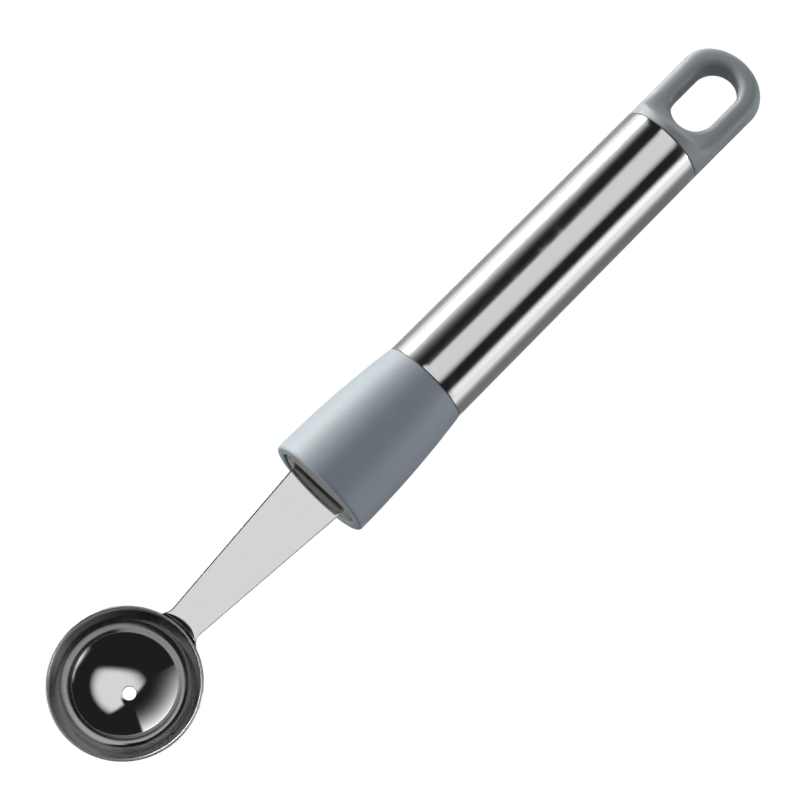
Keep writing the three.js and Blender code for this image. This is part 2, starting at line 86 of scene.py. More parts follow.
HAIR = 0.1 * MM  # a step too short to see, where two rows of points would share a sharp corner
SEAT_GAP = 0.15 * MM  # between the plug's head and its seat in the ferrule
SPIGOT_OVERLAP = 0.15 * MM  # how far the cap's spigot is sunk into the cap
SCOOP_COLUMNS, FERRULE_COLUMNS, TUBE_COLUMNS, SPIGOT_COLUMNS, PLUG_COLUMNS = 288, 240, 320, 160, 240
TONGUE_ROWS = 30
PLASTIC_IOR = 1.46
CAMERA_FRAME = 36.0  # the width that the lens is given for, in millimetres
CAMERA_REACH = 10.0  # how far the camera sees, in metres

# How many of each mark lie in a metre, or of the tube's lines in a radian round it
SMUDGES, SWELLS, MOTTLES = 160.0, 90.0, 220.0
RINGS, RING_BREAKS = 9000.0, 60.0
SHANK_LINES, SHANK_BREAKS = 7000.0, 90.0
TUBE_LINES, TUBE_BREAKS = 70.0, 45.0


def length(name, millimetres, description):
    """A length that a user would change, given in millimetres."""
    return bpy.props.FloatProperty(
        name=name,
        description=description,
        default=millimetres * MM,
        min=0.0,
        unit="LENGTH",
        subtype="DISTANCE",
    )


def share(name, value, description):
    """A plain number from 0 to 1."""
    return bpy.props.FloatProperty(
        name=name, description=description, default=value, min=0.0, max=1.0, subtype="FACTOR"
    )


def level(name, value, description):
    """The brightness of a light, where 1 shows a white surface as white."""
    return bpy.props.FloatProperty(name=name, description=description, default=value, min=0.0)


def angle(name, degrees, description):
    """An angle, given in degrees."""
    return bpy.props.FloatProperty(
        name=name, description=description, default=math.radians(degrees), unit="ROTATION", subtype="ANGLE"
    )


def colour(name, value, description):
    """A surface's own colour, as linear light."""
    return bpy.props.FloatVectorProperty(
        name=name, description=description, default=value, min=0.0, max=1.0, size=3, subtype="COLOR"
    )


class ScoopSizes(bpy.types.PropertyGroup):
    """Sizes of the pressed steel scoop."""

    wall: length("Wall", 0.6, "Thickness of the pressed sheet")
    bottom_radius: length("Bottom radius", 17.83, "Outside radius of the shallow bottom")
    corner_radius: length("Corner radius", 11.01, "Outside radius between the bottom and the wall")
    bottom_slope: angle("Bottom slope", 34.75, "Where the bottom passes into the corner")
    wall_slope: angle("Wall slope", 62.0, "Steepness of the straight wall below the rim")
    drain_hole: length("Drain hole", 2.8, "Diameter of the hole at the lowest point")
    edge: length("Edge", 0.09, "How far the hole's edges are rounded")


class ShankSizes(bpy.types.PropertyGroup):
    """Sizes of the shank, from the tongue under the scoop to the tang in the handle."""

    sheet: length("Sheet", 1.0, "Thickness of the sheet")
    bevel: length("Bevel", 0.16, "Width of the bevel along the sheet's edges")
    bevel_depth: length("Bevel depth", 0.035, "Depth of the bevel along the sheet's edges")
    bend: length("Bend", 2.2, "Outer radius of the bend above the tongue, in the shank's middle")
    bend_side: length("Bend at the sides", 0.25, "Outer radius of the bend at the tongue's sides")
    weld_gap: length("Weld gap", 0.2, "Between the tongue and the scoop's wall")
    tongue_tip: angle("Tongue tip", 50.0, "Slope of the scoop where the tongue ends")
    tongue_corner: length("Tongue corner", 2.0, "Corner radius of the tongue's end")
    mark_diameter: length("Weld mark", 2.4, "Diameter of an electrode's mark")
    mark_depth: length("Weld mark depth", 0.15, "Depth of an electrode's mark")
    mark_spacing: length("Weld mark spacing", 4.6, "Between the two electrode marks")
    neck_width: length("Neck width", 7.1, "The blade's width, carried on to the scoop's rim")
    neck_fillet: length("Neck fillet", 2.5, "Radius between the blade and the scoop's rim")
    mouth_width: length("Width at the mouth", 13.2, "Width where the shank enters the ferrule")
    tang_length: length("Tang length", 26.0, "From the shoulder to the tang's end")
    tang_width: length("Tang width", 10.33, "Across the tang inside the plug")
    tang_notch: length("Tang notch", 1.2, "Radius of the notch in each of the tang's edges")
    tang_notch_setback: length("Tang notch setback", 8.0, "From the tang's end to its notches")
    tang_chamfer: length("Tang chamfer", 1.5, "Chamfer at the tang's end")


class PlugSizes(bpy.types.PropertyGroup):
    """Sizes of the plug in the ferrule's mouth."""

    head_radius: length("Head radius", 9.35, "Radius of the head that fills the mouth")
    head_length: length("Head length", 6.0, "Length of the head")
    stem_radius: length("Stem radius", 6.9, "Radius of the stem in the ferrule's bore")
    pocket_width: length("Pocket width", 13.4, "Width of the pocket that takes the shank")
    pocket_height: length("Pocket height", 5.2, "Height of the pocket that takes the shank")
    pocket_depth: length("Pocket depth", 4.0, "Depth of the pocket that takes the shank")
    slot_width: length("Slot width", 10.53, "Width of the slot that takes the tang")
    slot_height: length("Slot height", 1.2, "Height of the slot that takes the tang")
    outer_edge: length("Outer edge", 0.9, "Radius of the head's outer edge")
    pocket_edge: length("Pocket edge", 0.3, "Radius of the pocket's edges")


class FerruleSizes(bpy.types.PropertyGroup):
    """Sizes of the flared ferrule."""

    length: length("Length", 30.0, "From the mouth to the tube")
    lip: length("Lip", 2.0, "Width of the ring round the plug")
    mouth_edge: length("Mouth edge", 0.7, "Radius of the mouth's outer edge")
    inner_edge: length("Inner edge", 0.2, "Rounding of the mouth's inner edge")
    tail_edge: length("Tail edge", 0.1, "Rounding of the edge that meets the tube")
    step: length("Step", 0.06, "How far the tail stands proud of the tube")
    spigot_length: length("Spigot length", 14.0, "Length of the part inside the tube")
    spigot_wall: length("Spigot wall", 1.5, "Wall of the part inside the tube")


class TubeSizes(bpy.types.PropertyGroup):
    """Sizes of the handle's tube."""

    back_diameter: length("Back diameter", 18.4, "Diameter at the end cap")
    wall: length("Wall", 0.6, "Thickness of the tube")
    edge: length("Edge", 0.12, "Rounding of the ends' edges")


class CapSizes(bpy.types.PropertyGroup):
    """Sizes of the end cap."""

    length: length("Length", 24.5, "From the tube to the tail")
    width: length("Width", 18.55, "Across the widest place")
    nose: length("Nose", 7.3, "Length of the elliptical end")
    thickness: length("Thickness", 7.0, "Of the flat tab round the eye")
    edge_blend: length("Edge blend", 3.0, "Softness of the edge between the round body and the flats")
    collar_edge: length("Collar edge", 0.15, "Rounding of the edge that meets the tube")
    hollow_end: length("Hollow end", 6.4, "From the tube to where the flats begin")
    hollow_radius: length("Hollow radius", 3.4, "Radius between the flats and the collar")
    hollow_angle: angle("Hollow angle", 72.0, "Steepness of the hollow next to the collar")
    eye_start: length("Eye start", 4.95, "From the tube to the eye")
    side_bar: length("Side bar", 4.5, "Width of the bars beside the eye")
    nose_bar: length("Nose bar", 3.8, "Width of the bar behind the eye")
    eye_edge: length("Eye edge", 1.5, "Radius of the eye's edges")
    spigot_length: length("Spigot length", 13.0, "Length of the part inside the tube")
    spigot_wall: length("Spigot wall", 1.8, "Wall of the part inside the tube")


class SpigotSizes(bpy.types.PropertyGroup):
    """Sizes that both spigots share."""

    clearance: length("Clearance", 0.3, "Between a spigot's barrel and the tube")
    rib_height: length("Rib height", 0.24, "Height of a crush rib")
    rib_width: length("Rib width", 1.2, "Width of a crush rib")
    ribs: bpy.props.IntProperty(name="Ribs", description="Crush ribs round a spigot", default=6, min=1)
    chamfer: length("Chamfer", 0.6, "Chamfer at a spigot's end")


class Finishes(bpy.types.PropertyGroup):
    """Colours and surface finishes."""

    steel: colour("Steel", (0.54, 0.54, 0.544), "Colour of the polished scoop and shank")
    steel_roughness: share("Steel roughness", 0.05, "Roughness of the polished steel")
    wall_roughness: share("Wall roughness", 0.14, "Roughness of the scoop's less polished steep wall")
    rim_roughness: share("Rim roughness", 0.36, "Roughness of the scoop's ground rim")
    # Painted shade: how much darker the steep wall's steel colour is made, which dims its reflections
    wall_painted_shade: share("Wall painted shade", 0.29, "How much darker the scoop's steep wall is")
    ring_spacing: length("Ring spacing", 1.1, "Between the press's rings on the scoop's wall")
    ring_depth: length("Ring depth", 0.004, "Depth of the press's rings and of the scoop's unevenness")
    shank_relief: length("Shank relief", 0.002, "Depth of the shank's unevenness")
    tube_steel: colour("Tube steel", (0.5, 0.5, 0.503), "Colour of the tube")
    tube_roughness: share("Tube roughness", 0.11, "Roughness of the tube")
    tube_relief: length("Tube relief", 0.001, "Depth of the tube's unevenness")
    ferrule: colour("Ferrule", (0.285, 0.328, 0.382), "Colour of the ferrule")
    cap: colour("End cap", (0.294, 0.328, 0.354), "Colour of the end cap")
    plastic_roughness: share("Plastic roughness", 0.52, "Roughness of the ferrule and the end cap")
    plug: colour("Plug", (0.27, 0.274, 0.262), "Colour of the plug")
    plug_roughness: share("Plug roughness", 0.5, "Roughness of the plug")
    grain: length("Grain", 0.3, "Size of the moulded grain")
    grain_depth: length("Grain depth", 0.02, "Depth of the moulded grain")


class StageSettings(bpy.types.PropertyGroup):
    """The camera, the floor and the light."""

    azimuth: angle("Azimuth", -44.13, "Camera's direction round the tool, from the -Y side")
    elevation: angle("Elevation", 73.15, "Camera's height above the horizon")
    roll: angle("Roll", -2.13, "Camera's turn about its own axis")
    distance: length("Distance", 620.0, "From the camera to its aim")
    aim: bpy.props.FloatVectorProperty(
        name="Aim",
        description="The point in the picture's middle",
        default=(-3.35 * MM, 1.08 * MM, 11.52 * MM),
        subtype="TRANSLATION",
        unit="LENGTH",
    )
    lens: bpy.props.FloatProperty(
        name="Lens", description="Focal length on a 36 mm frame", default=141.3, unit="CAMERA"
    )
    floor_size: length("Floor size", 3000.0, "Half the floor's width")
    floor: colour("Floor", (0.8, 0.8, 0.8), "Colour of the matte floor")
    floor_white: level("Floor white", 1.08, "Brightness that the camera sees on the floor")
    floor_mirrored: level("Mirrored floor", 1.5, "Brightness of the floor in the steel, away from the tool")
    floor_shadow: share("Floor shadow", 0.06, "How much of the floor's real shading the camera sees")
    shade_start: length("Shade start", 20.0, "Nearer to the tool, the steel mirrors the floor's real shading")
    shade_end: length("Shade end", 70.0, "Further from the tool, the steel mirrors the floor as white")
    panel: level("Overhead panel", 1.2, "Brightness of the panel above the tool")
    softbox: level("Softbox", 2.6, "Brightness of the large light beside the tool")
    low_softbox: level("Low softbox", 20.0, "Brightness of the lamp low in the softbox")
    low_strip: level("Low strip", 11.0, "Brightness of the strip along the softbox's foot")
    low_tint: colour("Low tint", (1.0, 0.99, 0.9), "Colour of the lamp and the strip low in the softbox")
    fill: level("Fill", 1.9, "Brightness of the light on the other side")
    low_fill: level("Low fill", 26.0, "Brightness of the strip at the fill's foot")
    room: level("Room", 0.022, "Brightness of the dark room between the lights")


class Wire:
    """An output socket. Sums, products and powers of wires and numbers add Math nodes to its tree."""

    def __init__(self, socket):
        self.socket = socket

    @classmethod
    def node(cls, tree, kind, settings=None, inputs=None, output=None):
        """Adds a node: its settings first, then its sockets' values or links. Gives one of its outputs."""
        made = tree.nodes.new(kind)
        for name, value in (settings or {}).items():
            setattr(made, name, value)
        for key, value in (inputs or {}).items():
            if isinstance(key, int):
                socket = made.inputs[key]
            else:
                socket = next(s for s in made.inputs if s.enabled and s.name == key)
            if isinstance(value, Wire):
                tree.links.new(value.socket, socket)
            else:
                socket.default_value = value
        found = [s for s in made.outputs if s.enabled and output in (None, s.name)]
        return cls(found[0]) if found else None

    def math(self, operation, *values):
        """A Math node of the given values, among which this wire may stand anywhere."""
        tree = self.socket.id_data
        return Wire.node(tree, "ShaderNodeMath", {"operation": operation}, dict(enumerate(values)))

    def at_least(self, lowest):
        """This value, or the lowest where that is higher."""
        return self.math("MAXIMUM", self, lowest)

    def __add__(self, other):
        return self.math("ADD", self, other)

    def __radd__(self, other):
        return self.math("ADD", other, self)

    def __sub__(self, other):
        return self.math("SUBTRACT", self, other)

    def __rsub__(self, other):
        return self.math("SUBTRACT", other, self)

    def __mul__(self, other):
        return self.math("MULTIPLY", self, other)

    def __rmul__(self, other):
        return self.math("MULTIPLY", other, self)

    def __truediv__(self, other):
        return self.math("DIVIDE", self, other)

    def __rtruediv__(self, other):
        return self.math("DIVIDE", other, self)

    def __pow__(self, other):
        return self.math("POWER", self, other)

    def __neg__(self):
        return self.math("MULTIPLY", self, -1.0)

    def rise(self, start, end):
        """0 up to start and 1 from end on, and a smooth change between. The start may be the higher."""
        settings = {"interpolation_type": "SMOOTHSTEP", "clamp": True}
        inputs = {"Value": self, "From Min": start, "From Max": end, "To Min": 0.0, "To Max": 1.0}
        return Wire.node(self.socket.id_data, "ShaderNodeMapRange", settings, inputs)

    def split(self):
        """The three parts of a vector."""
        first = Wire.node(self.socket.id_data, "ShaderNodeSeparateXYZ", {}, {"Vector": self})
        return [Wire(part) for part in first.socket.node.outputs]


def noise(tree, vector, scale, detail=2.0, roughness=0.5):
    """Fractal noise of about 0 to 1, at so many features in a unit of the vector."""
    inputs = {"Vector": vector, "Scale": scale, "Detail": detail, "Roughness": roughness}
    return Wire.node(tree, "ShaderNodeTexNoise", {}, inputs, "Fac")


def vector_of(tree, x, y, z):
    """A vector of three values."""
    return Wire.node(tree, "ShaderNodeCombineXYZ", {}, {"X": x, "Y": y, "Z": z})


def tinted(tree, value, factor):
    """The colour, made lighter or darker by a factor."""
    settings = {"data_type": "RGBA", "blend_type": "MULTIPLY"}
    grey = vector_of(tree, factor, factor, factor)
    return Wire.node(tree, "ShaderNodeMix", settings, {"Factor": 1.0, "A": (*value, 1.0), "B": grey})


def bumped(tree, height, depth):
    """The surface's normal over a relief of the given depth in metres."""
    return Wire.node(tree, "ShaderNodeBump", {}, {"Strength": 1.0, "Distance": depth, "Height": height})


def new_material(name):
    """An empty material and its node tree."""
    material = bpy.data.materials.new(name)
    material.use_nodes = True
    material.node_tree.nodes.clear()
    return material, material.node_tree


def close_surface(tree, kind, inputs, output="ShaderNodeOutputMaterial"):
    """Adds a shader and links it to the tree's output."""
    shader = Wire.node(tree, kind, {}, inputs)
    Wire.node(tree, output, {}, {"Surface": shader})


def object_position(tree):
    """Where a point lies on the tool, in metres."""
    return Wire.node(tree, "ShaderNodeTexCoord", {}, {}, "Object")


def steel_surface(tree, value, roughness, lines, relief, brightness=1.0, marks=0.0):
    """Bare steel: fine polishing lines, a faint large-scale unevenness and a few handling smudges. The
    roughness, the brightness, which paints shade where it is below 1, and the height of further marks are
    numbers or wires."""
    position = object_position(tree)
    smudge = noise(tree, position, SMUDGES, 4.0, 0.6)
    haze = smudge.rise(0.52, 0.72)
    gloss = roughness * (0.8 + 0.45 * lines + 0.5 * haze)
    swell = noise(tree, position, SWELLS, 1.0)
    inputs = {
        "Base Color": tinted(tree, value, brightness * (0.97 + 0.036 * lines + 0.024 * smudge)),
        "Metallic": 1.0,
        "Roughness": gloss,
        "Normal": bumped(tree, lines * 0.02 + swell + marks, relief),
    }
    close_surface(tree, "ShaderNodeBsdfPrincipled", inputs)


def polished_scoop(finish):
    """Mirror-polished sheet with faint rings from the polishing wheel, round the scoop's axis, a rougher
    steep wall with the press's wider rings and painted shade that darkens its steel, and a ground rim."""
    material, tree = new_material("polished_scoop_steel")
    wall_start, wall_full = 0.69 * SCOOP_RADIUS, 0.83 * SCOOP_RADIUS
    rim_start, rim_full = 0.955 * SCOOP_RADIUS, 0.97 * SCOOP_RADIUS
    x, y, _ = object_position(tree).split()
    out = ((x - SCOOP_X) ** 2.0 + y**2.0) ** 0.5
    lines = noise(tree, vector_of(tree, out * RINGS, x * RING_BREAKS, y * RING_BREAKS), 1.0, 3.0)
    drawn = out.rise(wall_start, wall_full)
    ground = out.rise(rim_start, rim_full)
    polish = finish.steel_roughness + (finish.wall_roughness - finish.steel_roughness) * drawn
    roughness = polish + (finish.rim_roughness - polish) * ground
    rings = out.math("SINE", out * (2.0 * math.pi / finish.ring_spacing)) * drawn * (1.0 - ground)
    # Painted shade: the steep wall's steel colour is darkened, which dims the reflections there
    brightness = 1.0 - finish.wall_painted_shade * drawn
    steel_surface(tree, finish.steel, roughness, lines, finish.ring_depth, brightness, rings)
    return material


def polished_shank(finish):
    """Mirror-polished sheet with faint lines along the shank."""
    material, tree = new_material("polished_shank_steel")
    x, y, z = object_position(tree).split()
    lines = noise(tree, vector_of(tree, x * SHANK_BREAKS, y * SHANK_LINES, z * SHANK_LINES), 1.0, 3.0)
    steel_surface(tree, finish.steel, finish.steel_roughness, lines, finish.shank_relief)
    return material


def drawn_tube(finish):
    """Drawn and polished tube, with fine lines along its axis."""
    material, tree = new_material("drawn_tube_steel")
    x, y, z = object_position(tree).split()
    up = z - AXIS_Z
    turn = up.math("ARCTAN2", up, y) * TUBE_LINES
    lines = noise(tree, vector_of(tree, x * TUBE_BREAKS, turn, 0.0), 1.0, 4.0, 0.65)
    steel_surface(tree, finish.tube_steel, finish.tube_roughness, lines, finish.tube_relief)
    return material


def moulded_plastic(name, value, roughness, finish):
    """Matte moulding: a fine spark-eroded grain, slightly shinier on its tops, and a faint mottling."""
    material, tree = new_material(name)
    position = object_position(tree)
    pitch = 1.0 / finish.grain
    grain = noise(tree, position, pitch, 3.0, 0.55)
    fine = noise(tree, position, 2.6 * pitch, 2.0)
    mottle = noise(tree, position, MOTTLES, 4.0, 0.6)
    relief = grain * 0.7 + fine * 0.3
    inputs = {
        "Base Color": tinted(tree, value, 0.86 + 0.168 * relief + 0.112 * mottle),
        "Roughness": roughness + 0.16 * (mottle - 0.5) - 0.1 * (grain - 0.5),
        "IOR": PLASTIC_IOR,
        "Normal": bumped(tree, relief, finish.grain_depth),
    }
    close_surface(tree, "ShaderNodeBsdfPrincipled", inputs)
    return material


def shell_faces(rows, columns, ends):
    """Corners of a grid's faces. The columns close on themselves. The rows do too, in a "ring". Otherwise the
    first and the last row are each a point, in "poles", or are closed by a strip between mirrored columns,
    in "lids"."""
    ids = np.arange(rows * columns).reshape(rows, columns)
    if ends == "ring":
        ids = np.concatenate([ids, ids[:1]])
    following = np.roll(ids, -1, axis=1)
    quads = np.stack([ids[:-1], ids[1:], following[1:], following[:-1]], axis=-1)
    if ends == "poles":
        start = np.stack([np.full(columns, ids[0, -1]), ids[1], following[1]], axis=-1)
        finish = np.stack([ids[-2], np.full(columns, ids[-1, 0]), following[-2]], axis=-1)
        return quads[1:-1].reshape(-1, 4).tolist() + start.tolist() + finish.tolist()
    faces = quads.reshape(-1, 4).tolist()
    if ends == "lids":
        j = np.arange(columns // 2 - 1)
        strip = np.stack([j, j + 1, columns - 2 - j, columns - 1 - j], axis=-1)
        faces += ids[0][strip].tolist() + ids[-1][strip[:, ::-1]].tolist()
    return faces


def enclosed_volume(points, faces):
    """Volume inside a closed set of faces, by the tetrahedra that they make with the origin."""
    corners = np.array([face[:3] for face in faces] + [[f[0], f[2], f[3]] for f in faces if len(f) == 4])
    a, b, c = points[corners[:, 0]], points[corners[:, 1]], points[corners[:, 2]]
    return np.einsum("ij,ij->i", a, np.cross(b, c)).sum() / 6


def build_piece(name, shells, material, node):
    """One smooth mesh of closed shells that face outwards, each a grid of points and the way its ends close.
    A pole's row keeps one of its equal points. The piece replaces a CAD node and rides on the tool's body."""
    points, faces = [], []
    first = 0
    for grid, ends in shells:
        flat = grid.reshape(-1, 3)
        made = shell_faces(*grid.shape[:2], ends)
        if enclosed_volume(flat, made) < 0:
            made = [face[::-1] for face in made]
        spare = grid.shape[1] - 1 if ends == "poles" else 0
        points.append(flat[spare : len(flat) - spare])
        faces += [[first - spare + corner for corner in face] for face in made]
        first += len(points[-1])
    mesh = bpy.data.meshes.new(name)
    mesh.from_pydata(np.concatenate(points), [], faces)
    mesh.validate()
    mesh.shade_smooth()
    mesh.materials.append(material)
    piece = bpy.data.objects.new(name, mesh)
    bpy.context.scene.collection.objects.link(piece)
    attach(piece, "root")
    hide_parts(node)


def line(start, end, steps):
    """Points along a straight line, both ends included."""
    return np.linspace(start, end, steps + 1)


def arc(centre, radius, start, end, steps):
    """Points along a circle's arc, both ends included, at angles from the first axis."""
    turn = np.linspace(start, end, steps + 1)
    return np.stack([centre[0] + radius * np.cos(turn), centre[1] + radius * np.sin(turn)], axis=-1)


def outline_of(runs, corners, steps=5):
    """A closed outline of runs of points, each joined to the next by a parabola that is drawn to a corner."""
    t = np.linspace(0, 1, steps + 2)[1:-1, None]
    pieces = []
    for run, corner, after in zip(runs, corners, runs[1:] + runs[:1]):
        pieces += [run, (1 - t) ** 2 * run[-1] + 2 * t * (1 - t) * np.array(corner) + t**2 * after[0]]
    return np.concatenate(pieces)


def revolve(profile, columns, axis="x", centre=(0, 0, AXIS_Z)):
    """A profile of (radius, distance along the axis) points, turned round the handle's axis "x", or round the
    vertical axis "z" through the centre."""
    turn = np.linspace(0, 2 * np.pi, columns, endpoint=False)
    radius, along = profile[:, :1], profile[:, 1:] + 0 * turn
    across, up = radius * np.cos(turn), radius * np.sin(turn)
    parts = [across, up, along] if axis == "z" else [along, across, up]
    return np.stack(parts, axis=-1) + np.array(centre)


def ribbed(grid, on_rib):
    """Raises crush ribs along the handle's axis on the marked rows: each point moves out by the ribs' height
    where its distance round the axis from the nearest rib's middle is less than half their width, with a
    short slope on each flank."""
    spigots = bpy.context.scene.baller_spigots
    width, flank = spigots.rib_width, 0.25 * spigots.rib_width
    y, z = grid[..., 1], grid[..., 2] - AXIS_Z
    radius = np.hypot(y, z)
    pitch = 2 * np.pi / spigots.ribs
    away = np.abs((np.arctan2(z, y) + pitch / 2) % pitch - pitch / 2) * radius
    raised = np.clip((width / 2 - away) / flank + 0.5, 0, 1) * on_rib[:, None] * spigots.rib_height
    factor = 1 + raised / np.maximum(radius, HAIR)
    return np.stack([grid[..., 0], y * factor, AXIS_Z + z * factor], axis=-1)


def outward(slope):
    """The direction out of the scoop's wall where it has a given slope, in (radius, height)."""
    return np.stack([np.sin(slope), -np.cos(slope)], axis=-1)


def scoop_centres(sizes):
    """The centres of the half-round rim, the corner's arc and the bottom's arc, in (radius, height) under the
    rim's top. The wall's straight line joins the rim and the corner."""
    half = sizes.wall / 2
    rim = np.array([SCOOP_RADIUS - half, -half])
    above = rim - (sizes.corner_radius - half) * outward(sizes.wall_slope)
    between = sizes.bottom_radius - sizes.corner_radius
    drop = (above[0] - between * math.sin(sizes.bottom_slope)) / math.cos(sizes.wall_slope)
    corner = above - drop * np.array([math.cos(sizes.wall_slope), math.sin(sizes.wall_slope)])
    return rim, corner, corner - between * outward(sizes.bottom_slope)


def scoop_grid(sizes):
    """The scoop's wall: a shallow arc, a tighter arc and a line inside, the half-round rim, the same outside
    at the wall's distance, and the drain hole's wall, as a closed profile turned round the vertical axis."""
    rim, corner, bottom = scoop_centres(sizes)
    hole, edge, half = sizes.drain_hole / 2, sizes.edge, sizes.wall / 2
    low, high = sizes.bottom_slope - math.pi / 2, sizes.wall_slope - math.pi / 2
    bottom_steps, corner_steps, wall_steps, rim_steps = 70, 60, 16, 18

    def wall(inset):
        radius = sizes.bottom_radius - inset
        start = math.asin(hole / radius) + edge / radius - math.pi / 2
        curve = arc(corner, sizes.corner_radius - inset, low, high, corner_steps)
        straight = line(curve[-1], rim + (half - inset) * outward(sizes.wall_slope), wall_steps)
        return np.concatenate([arc(bottom, radius, start, low, bottom_steps), curve[1:], straight[1:-1]])

    def at_hole(inset):
        return (hole, bottom[1] - math.sqrt((sizes.bottom_radius - inset) ** 2 - hole**2))

    hole_in, hole_out = at_hole(sizes.wall), at_hole(0)
    runs = [
        np.concatenate([wall(sizes.wall), arc(rim, half, high + math.pi, high, rim_steps), wall(0)[::-1]]),
        line((hole, hole_out[1] + edge), (hole, hole_in[1] - edge), 2),
    ]
    return revolve(outline_of(runs, [hole_out, hole_in]), SCOOP_COLUMNS, "z", (SCOOP_X, 0, RIM_Z))


def neck_curve(sizes):
    """The fillet that touches the blade's edge and the rim's circle, in plan from the scoop's axis, and the
    blade's slope."""
    slope = math.atan2((sizes.mouth_width - sizes.neck_width) / 2, MOUTH_REACH - SCOOP_RADIUS)
    steps = 60
    along, fillet = np.array([math.cos(slope), math.sin(slope)]), sizes.neck_fillet
    beside = np.array([SCOOP_RADIUS, sizes.neck_width / 2]) + fillet * np.array([-along[1], along[0]])
    reach = math.sqrt((beside @ along) ** 2 - beside @ beside + (SCOOP_RADIUS + fillet) ** 2) - beside @ along
    centre = beside + reach * along
    at_rim, at_blade = math.pi + math.atan2(centre[1], centre[0]), 1.5 * math.pi + slope
    return arc(centre, fillet, at_rim, at_blade, steps), slope


def shank_path(sizes, depth, bend):
    """The way that a layer of the sheet takes, as (distance from the scoop's axis, height) for each row of
    the grid and each column's depth below the upper face and bend radius: an arc and a line up the scoop's
    wall, the bend's arc and a level line."""
    scoop = bpy.context.scene.baller_scoop
    rising_rows, bend_rows, neck_rows, blade_rows, mouth_rows, tang_rows = 12, 24, 40, 30, 6, 70
    neck_length = 4 * MM
    half, steep = sizes.sheet / 2, scoop.wall_slope
    rim, corner, _ = (centre + np.array([0, half]) for centre in scoop_centres(scoop))
    standoff, level_z = scoop.wall / 2 + sizes.weld_gap + depth, half - depth
    meeting = rim[0] + (standoff + (level_z - rim[1]) * math.cos(steep)) / math.sin(steep)
    bend = np.maximum(bend - depth, HAIR / 2)
    bend_x = meeting + bend * math.tan(steep / 2)

    slopes = np.linspace(sizes.tongue_tip, steep, TONGUE_ROWS)[:, None]
    radius = scoop.corner_radius + sizes.weld_gap + depth
    tongue = np.stack([corner[0] + radius * np.sin(slopes), corner[1] - radius * np.cos(slopes)])
    turn = np.linspace(math.pi / 2 + steep, math.pi / 2, bend_rows)[:, None]
    curved = np.stack([bend_x + bend * np.cos(turn), level_z - bend + bend * np.sin(turn)])
    share_up = np.linspace(0, 1, rising_rows)[1:-1, None]
    rising = tongue[:, -1:] + (curved[:, :1] - tongue[:, -1:]) * share_up

    shoulder_x, neck_x = TANG_REACH - sizes.tang_length, SCOOP_RADIUS + neck_length
    near = bend_x + (neck_x - bend_x) * np.linspace(0, 1, neck_rows)[1:-1, None]
    far = np.concatenate(
        [
            np.linspace(neck_x, MOUTH_REACH, blade_rows)[:-1],
            np.linspace(MOUTH_REACH, shoulder_x, mouth_rows),
            np.linspace(shoulder_x + HAIR, TANG_REACH, tang_rows),
        ]
    )
    flat = np.concatenate([near, far[:, None] + 0 * bend_x])
    return np.concatenate([tongue, rising, curved, np.stack([flat, level_z + 0 * flat])], axis=1)


def shank_grid(sizes):
    """The shank's sheet: a flat bevelled section carried along the layers' path, as wide as the plan's
    outline at each place. The bend is soft in the middle and sharp at the sides. The path is bowed round the
    scoop's axis at the tongue, by x = sqrt(r^2 - y^2), and straightens along the blade."""
    half, bevel = sizes.sheet / 2, sizes.bevel
    # How far out and down each point of a bevel lies, as shares of its width and depth, from the side inwards
    out_share = np.array([1.0, 1.0, 0.97, 0.5, 0.03, 0.0])
    down_share = np.array([1.3, 1.0, 0.97, 0.5, 0.03, 0.0])
    span = np.linspace(-1, 1, 64)
    across = np.concatenate([0 * out_share - 1, span[1:-1], 0 * out_share + 1])
    beyond = bevel * np.concatenate([-out_share, 0 * span[1:-1], out_share[::-1]])
    sunk = sizes.bevel_depth * np.concatenate([down_share, 0 * span[1:-1], down_share[::-1]])
    across, beyond = np.concatenate([across, across[::-1]]), np.concatenate([beyond, beyond[::-1]])
    depth = np.concatenate([sunk, (sizes.sheet - sunk)[::-1]])

    bend = sizes.bend_side + (sizes.bend - sizes.bend_side) * (1 - across**2)
    reach, height = shank_path(sizes, depth, bend)
    shoulder_x = TANG_REACH - sizes.tang_length
    curve, slope = neck_curve(sizes)
    curve_reach = np.hypot(curve[:, 0], curve[:, 1])

    def half_width(x):
        blade = sizes.mouth_width / 2 + np.minimum((x - MOUTH_REACH) * math.tan(slope), 0)
        notch_at = np.clip(np.abs(x - TANG_REACH + sizes.tang_notch_setback) / sizes.tang_notch, 0, 1)
        notched = sizes.tang_width / 2 - sizes.tang_notch * np.sqrt(1 - notch_at**2)
        chamfer = np.maximum(0, x - TANG_REACH + sizes.tang_chamfer)
        tang = np.minimum(notched, sizes.tang_width / 2 - chamfer)
        return np.where(x < shoulder_x + HAIR / 2, blade, tang)

    t = np.clip((reach - curve_reach[-1]) / (0.5 * (MOUTH_REACH - curve_reach[-1])), 0, 1)
    bow = 1 - t * t * (3 - 2 * t)
    width = half_width(reach)
    # The width moves the bowed place that it is read at, so it is read again until it settles
    for _ in range(4):
        width = half_width(reach - bow * (reach - np.sqrt(reach**2 - width**2)))
    width = np.where(reach < curve_reach[-1], np.interp(reach, curve_reach, curve[:, 1]), width)
    corner = sizes.tongue_corner
    above_tip = np.clip(height - height[:1], 0, corner)
    width -= corner - np.sqrt(corner**2 - (corner - above_tip) ** 2)

    y = across * (width - bevel) + beyond
    mark_row = TONGUE_ROWS // 2
    along = np.hypot(reach - reach[mark_row], height - height[mark_row])
    away = np.hypot(along, np.abs(y) - sizes.mark_spacing / 2) / (sizes.mark_diameter / 2)
    mark = sizes.mark_depth * np.clip(1 - away**2, 0, 1) * (depth > half)
    out, down = outward((sizes.tongue_tip + bpy.context.scene.baller_scoop.wall_slope) / 2)
    reach, height = reach - mark * out, height - mark * down
    x = reach - bow * (reach - np.sqrt(reach**2 - y**2))
    return np.stack([SCOOP_X + x, y, AXIS_Z + height], axis=-1)


